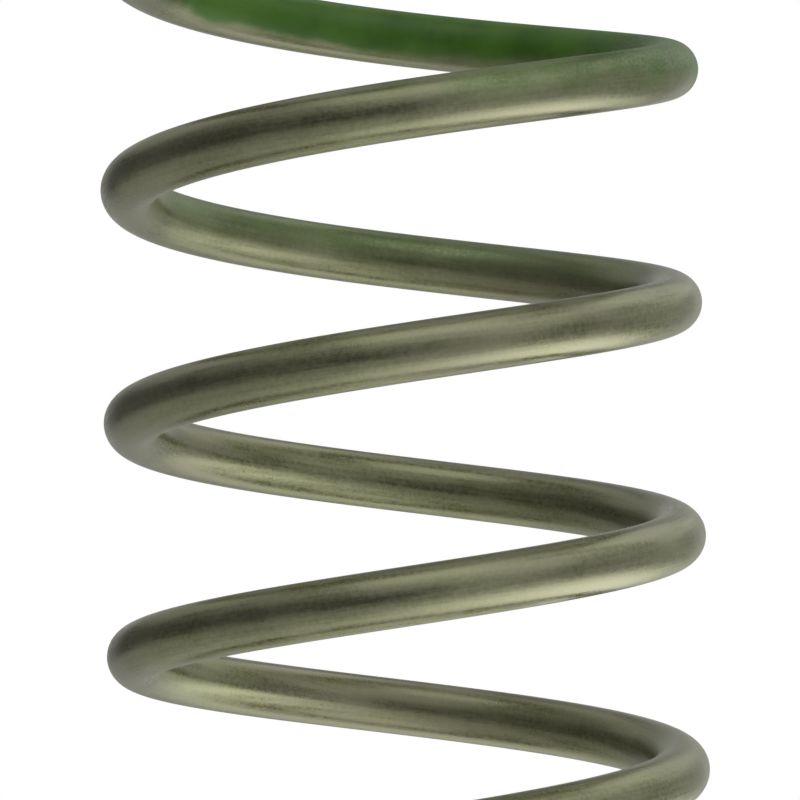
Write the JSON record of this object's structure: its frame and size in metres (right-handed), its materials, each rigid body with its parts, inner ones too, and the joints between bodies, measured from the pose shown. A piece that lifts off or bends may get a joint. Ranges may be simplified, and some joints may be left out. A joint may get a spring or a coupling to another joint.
{
  "type": "coil spring",
  "caption": "Right-hand helical compression spring of round steel bar, with open active coils, closed and ground end coils and a green identification mark, for vehicle suspension.",
  "frame": {"origin": "centre of the coils at the lower ground face, on which the spring stands", "axes": "+Z along the coils' common axis from the lower ground face to the upper one; -Y faces the viewer of the picture; the lower tip of the bar lies 112.5 degrees counter-clockwise from +X"},
  "size_m": [0.146, 0.146, 0.3875],
  "materials": {
    "spring_steel": "satin, shot-peened, with a thin clear film",
    "identification_paint": "matt, sprayed over the bare bar"
  },
  "bodies": {
    "bottom_end_coil": {"bottom_end_coil": "spring_steel"},
    "active_coil_1_quarter_1": {"active_coil_1_quarter_1": "spring_steel"},
    "active_coil_1_quarter_2": {"active_coil_1_quarter_2": "spring_steel"},
    "active_coil_1_quarter_3": {"active_coil_1_quarter_3": "spring_steel"},
    "active_coil_1_quarter_4": {"active_coil_1_quarter_4": "spring_steel"},
    "active_coil_2_quarter_1": {"active_coil_2_quarter_1": "spring_steel"},
    "active_coil_2_quarter_2": {"active_coil_2_quarter_2": "spring_steel"},
    "active_coil_2_quarter_3": {"active_coil_2_quarter_3": "spring_steel"},
    "active_coil_2_quarter_4": {"active_coil_2_quarter_4": "spring_steel"},
    "active_coil_3_quarter_1": {"active_coil_3_quarter_1": "spring_steel"},
    "active_coil_3_quarter_2": {"active_coil_3_quarter_2": "spring_steel"},
    "active_coil_3_quarter_3": {"active_coil_3_quarter_3": "spring_steel"},
    "active_coil_3_quarter_4": {"active_coil_3_quarter_4": "spring_steel"},
    "active_coil_4_quarter_1": {"active_coil_4_quarter_1": "spring_steel"},
    "active_coil_4_quarter_2": {"active_coil_4_quarter_2": "spring_steel"},
    "active_coil_4_quarter_3": {"active_coil_4_quarter_3": "spring_steel"},
    "active_coil_4_quarter_4": {"active_coil_4_quarter_4": "spring_steel"},
    "active_coil_5_quarter_1": {"active_coil_5_quarter_1": "spring_steel"},
    "active_coil_5_quarter_2": {"active_coil_5_quarter_2": "spring_steel"},
    "active_coil_5_quarter_3": {"active_coil_5_quarter_3": "spring_steel"},
    "active_coil_5_quarter_4": {"active_coil_5_quarter_4": "spring_steel"},
    "active_coil_6_quarter_1": {"active_coil_6_quarter_1": "spring_steel"},
    "active_coil_6_quarter_2": {"active_coil_6_quarter_2": "spring_steel"},
    "active_coil_6_quarter_3": {"active_coil_6_quarter_3": "identification_paint"},
    "active_coil_6_quarter_4": {"active_coil_6_quarter_4": "identification_paint"},
    "active_coil_7_quarter_1": {"active_coil_7_quarter_1": "identification_paint"},
    "active_coil_7_quarter_2": {"active_coil_7_quarter_2": "identification_paint"},
    "active_coil_7_quarter_3": {"active_coil_7_quarter_3": "spring_steel"},
    "active_coil_7_quarter_4": {"active_coil_7_quarter_4": "spring_steel"},
    "top_end_coil": {"top_end_coil": "spring_steel"}
  },
  "joints": [
    {"name": "twist_01", "type": "hinge", "parent": "bottom_end_coil", "child": "active_coil_1_quarter_1", "pos_m": [-0.02526, 0.06098, 0.0111], "axis": [0.9233, 0.3824, -0.0352], "range_deg": [0, 1.06], "stiffness_Nm_per_rad": 2850},
    {"name": "twist_02", "type": "hinge", "parent": "active_coil_1_quarter_1", "child": "active_coil_1_quarter_2", "pos_m": [-0.06098, -0.02526, 0.01572], "axis": [-0.382, 0.9221, -0.0614], "range_deg": [0, 3.19], "stiffness_Nm_per_rad": 2850},
    {"name": "twist_03", "type": "hinge", "parent": "active_coil_1_quarter_2", "child": "active_coil_1_quarter_3", "pos_m": [0.02526, -0.06098, 0.02464], "axis": [-0.9183, -0.3804, -0.1097], "range_deg": [0, 5.31], "stiffness_Nm_per_rad": 2850},
    {"name": "twist_04", "type": "hinge", "parent": "active_coil_1_quarter_3", "child": "active_coil_1_quarter_4", "pos_m": [0.06098, 0.02526, 0.03784], "axis": [0.3792, -0.9154, -0.1355], "range_deg": [0, 7.44], "stiffness_Nm_per_rad": 2850},
    {"name": "twist_05", "type": "hinge", "parent": "active_coil_1_quarter_4", "child": "active_coil_2_quarter_1", "pos_m": [-0.02526, 0.06098, 0.05201], "axis": [0.9154, 0.3792, -0.1355], "range_deg": [0, 8.5], "stiffness_Nm_per_rad": 2850},
    {"name": "twist_06", "type": "hinge", "parent": "active_coil_2_quarter_1", "child": "active_coil_2_quarter_2", "pos_m": [-0.06098, -0.02526, 0.06619], "axis": [-0.3792, 0.9154, -0.1355], "range_deg": [0, 8.5], "stiffness_Nm_per_rad": 2850},
    {"name": "twist_07", "type": "hinge", "parent": "active_coil_2_quarter_2", "child": "active_coil_2_quarter_3", "pos_m": [0.02526, -0.06098, 0.08036], "axis": [-0.9154, -0.3792, -0.1355], "range_deg": [0, 8.5], "stiffness_Nm_per_rad": 2850},
    {"name": "twist_08", "type": "hinge", "parent": "active_coil_2_quarter_3", "child": "active_coil_2_quarter_4", "pos_m": [0.06098, 0.02526, 0.09454], "axis": [0.3792, -0.9154, -0.1355], "range_deg": [0, 8.5], "stiffness_Nm_per_rad": 2850},
    {"name": "twist_09", "type": "hinge", "parent": "active_coil_2_quarter_4", "child": "active_coil_3_quarter_1", "pos_m": [-0.02526, 0.06098, 0.10871], "axis": [0.9154, 0.3792, -0.1355], "range_deg": [0, 8.5], "stiffness_Nm_per_rad": 2850},
    {"name": "twist_10", "type": "hinge", "parent": "active_coil_3_quarter_1", "child": "active_coil_3_quarter_2", "pos_m": [-0.06098, -0.02526, 0.12289], "axis": [-0.3792, 0.9154, -0.1355], "range_deg": [0, 8.5], "stiffness_Nm_per_rad": 2850},
    {"name": "twist_11", "type": "hinge", "parent": "active_coil_3_quarter_2", "child": "active_coil_3_quarter_3", "pos_m": [0.02526, -0.06098, 0.13706], "axis": [-0.9154, -0.3792, -0.1355], "range_deg": [0, 8.5], "stiffness_Nm_per_rad": 2850},
    {"name": "twist_12", "type": "hinge", "parent": "active_coil_3_quarter_3", "child": "active_coil_3_quarter_4", "pos_m": [0.06098, 0.02526, 0.15124], "axis": [0.3792, -0.9154, -0.1355], "range_deg": [0, 8.5], "stiffness_Nm_per_rad": 2850},
    {"name": "twist_13", "type": "hinge", "parent": "active_coil_3_quarter_4", "child": "active_coil_4_quarter_1", "pos_m": [-0.02526, 0.06098, 0.16541], "axis": [0.9154, 0.3792, -0.1355], "range_deg": [0, 8.5], "stiffness_Nm_per_rad": 2850},
    {"name": "twist_14", "type": "hinge", "parent": "active_coil_4_quarter_1", "child": "active_coil_4_quarter_2", "pos_m": [-0.06098, -0.02526, 0.17959], "axis": [-0.3792, 0.9154, -0.1355], "range_deg": [0, 8.5], "stiffness_Nm_per_rad": 2850},
    {"name": "twist_15", "type": "hinge", "parent": "active_coil_4_quarter_2", "child": "active_coil_4_quarter_3", "pos_m": [0.02526, -0.06098, 0.19376], "axis": [-0.9154, -0.3792, -0.1355], "range_deg": [0, 8.5], "stiffness_Nm_per_rad": 2850},
    {"name": "twist_16", "type": "hinge", "parent": "active_coil_4_quarter_3", "child": "active_coil_4_quarter_4", "pos_m": [0.06098, 0.02526, 0.20794], "axis": [0.3792, -0.9154, -0.1355], "range_deg": [0, 8.5], "stiffness_Nm_per_rad": 2850},
    {"name": "twist_17", "type": "hinge", "parent": "active_coil_4_quarter_4", "child": "active_coil_5_quarter_1", "pos_m": [-0.02526, 0.06098, 0.22211], "axis": [0.9154, 0.3792, -0.1355], "range_deg": [0, 8.5], "stiffness_Nm_per_rad": 2850},
    {"name": "twist_18", "type": "hinge", "parent": "active_coil_5_quarter_1", "child": "active_coil_5_quarter_2", "pos_m": [-0.06098, -0.02526, 0.23629], "axis": [-0.3792, 0.9154, -0.1355], "range_deg": [0, 8.5], "stiffness_Nm_per_rad": 2850},
    {"name": "twist_19", "type": "hinge", "parent": "active_coil_5_quarter_2", "child": "active_coil_5_quarter_3", "pos_m": [0.02526, -0.06098, 0.25046], "axis": [-0.9154, -0.3792, -0.1355], "range_deg": [0, 8.5], "stiffness_Nm_per_rad": 2850},
    {"name": "twist_20", "type": "hinge", "parent": "active_coil_5_quarter_3", "child": "active_coil_5_quarter_4", "pos_m": [0.06098, 0.02526, 0.26464], "axis": [0.3792, -0.9154, -0.1355], "range_deg": [0, 8.5], "stiffness_Nm_per_rad": 2850},
    {"name": "twist_21", "type": "hinge", "parent": "active_coil_5_quarter_4", "child": "active_coil_6_quarter_1", "pos_m": [-0.02526, 0.06098, 0.27881], "axis": [0.9154, 0.3792, -0.1355], "range_deg": [0, 8.5], "stiffness_Nm_per_rad": 2850},
    {"name": "twist_22", "type": "hinge", "parent": "active_coil_6_quarter_1", "child": "active_coil_6_quarter_2", "pos_m": [-0.06098, -0.02526, 0.29299], "axis": [-0.3792, 0.9154, -0.1355], "range_deg": [0, 8.5], "stiffness_Nm_per_rad": 2850},
    {"name": "twist_23", "type": "hinge", "parent": "active_coil_6_quarter_2", "child": "active_coil_6_quarter_3", "pos_m": [0.02526, -0.06098, 0.30716], "axis": [-0.9154, -0.3792, -0.1355], "range_deg": [0, 8.5], "stiffness_Nm_per_rad": 2850},
    {"name": "twist_24", "type": "hinge", "parent": "active_coil_6_quarter_3", "child": "active_coil_6_quarter_4", "pos_m": [0.06098, 0.02526, 0.32134], "axis": [0.3792, -0.9154, -0.1355], "range_deg": [0, 8.5], "stiffness_Nm_per_rad": 2850},
    {"name": "twist_25", "type": "hinge", "parent": "active_coil_6_quarter_4", "child": "active_coil_7_quarter_1", "pos_m": [-0.02526, 0.06098, 0.33551], "axis": [0.9154, 0.3792, -0.1355], "range_deg": [0, 8.5], "stiffness_Nm_per_rad": 2850},
    {"name": "twist_26", "type": "hinge", "parent": "active_coil_7_quarter_1", "child": "active_coil_7_quarter_2", "pos_m": [-0.06098, -0.02526, 0.34969], "axis": [-0.3792, 0.9154, -0.1355], "range_deg": [0, 7.44], "stiffness_Nm_per_rad": 2850},
    {"name": "twist_27", "type": "hinge", "parent": "active_coil_7_quarter_2", "child": "active_coil_7_quarter_3", "pos_m": [0.02526, -0.06098, 0.36289], "axis": [-0.9183, -0.3804, -0.1097], "range_deg": [0, 5.31], "stiffness_Nm_per_rad": 2850},
    {"name": "twist_28", "type": "hinge", "parent": "active_coil_7_quarter_3", "child": "active_coil_7_quarter_4", "pos_m": [0.06098, 0.02526, 0.3718], "axis": [0.382, -0.9221, -0.0614], "range_deg": [0, 3.19], "stiffness_Nm_per_rad": 2850},
    {"name": "twist_29", "type": "hinge", "parent": "active_coil_7_quarter_4", "child": "top_end_coil", "pos_m": [-0.02526, 0.06098, 0.37643], "axis": [0.9233, 0.3824, -0.0352], "range_deg": [0, 1.06], "stiffness_Nm_per_rad": 2850}
  ],
  "couplings": [
    {"joint": "twist_01", "follows": "twist_15", "ratio": 0.125},
    {"joint": "twist_02", "follows": "twist_15", "ratio": 0.375},
    {"joint": "twist_03", "follows": "twist_15", "ratio": 0.625},
    {"joint": "twist_04", "follows": "twist_15", "ratio": 0.875},
    {"joint": "twist_05", "follows": "twist_15", "ratio": 1},
    {"joint": "twist_06", "follows": "twist_15", "ratio": 1},
    {"joint": "twist_07", "follows": "twist_15", "ratio": 1},
    {"joint": "twist_08", "follows": "twist_15", "ratio": 1},
    {"joint": "twist_09", "follows": "twist_15", "ratio": 1},
    {"joint": "twist_10", "follows": "twist_15", "ratio": 1},
    {"joint": "twist_11", "follows": "twist_15", "ratio": 1},
    {"joint": "twist_12", "follows": "twist_15", "ratio": 1},
    {"joint": "twist_13", "follows": "twist_15", "ratio": 1},
    {"joint": "twist_14", "follows": "twist_15", "ratio": 1},
    {"joint": "twist_16", "follows": "twist_15", "ratio": 1},
    {"joint": "twist_17", "follows": "twist_15", "ratio": 1},
    {"joint": "twist_18", "follows": "twist_15", "ratio": 1},
    {"joint": "twist_19", "follows": "twist_15", "ratio": 1},
    {"joint": "twist_20", "follows": "twist_15", "ratio": 1},
    {"joint": "twist_21", "follows": "twist_15", "ratio": 1},
    {"joint": "twist_22", "follows": "twist_15", "ratio": 1},
    {"joint": "twist_23", "follows": "twist_15", "ratio": 1},
    {"joint": "twist_24", "follows": "twist_15", "ratio": 1},
    {"joint": "twist_25", "follows": "twist_15", "ratio": 1},
    {"joint": "twist_26", "follows": "twist_15", "ratio": 0.875},
    {"joint": "twist_27", "follows": "twist_15", "ratio": 0.625},
    {"joint": "twist_28", "follows": "twist_15", "ratio": 0.375},
    {"joint": "twist_29", "follows": "twist_15", "ratio": 0.125}
  ]
}
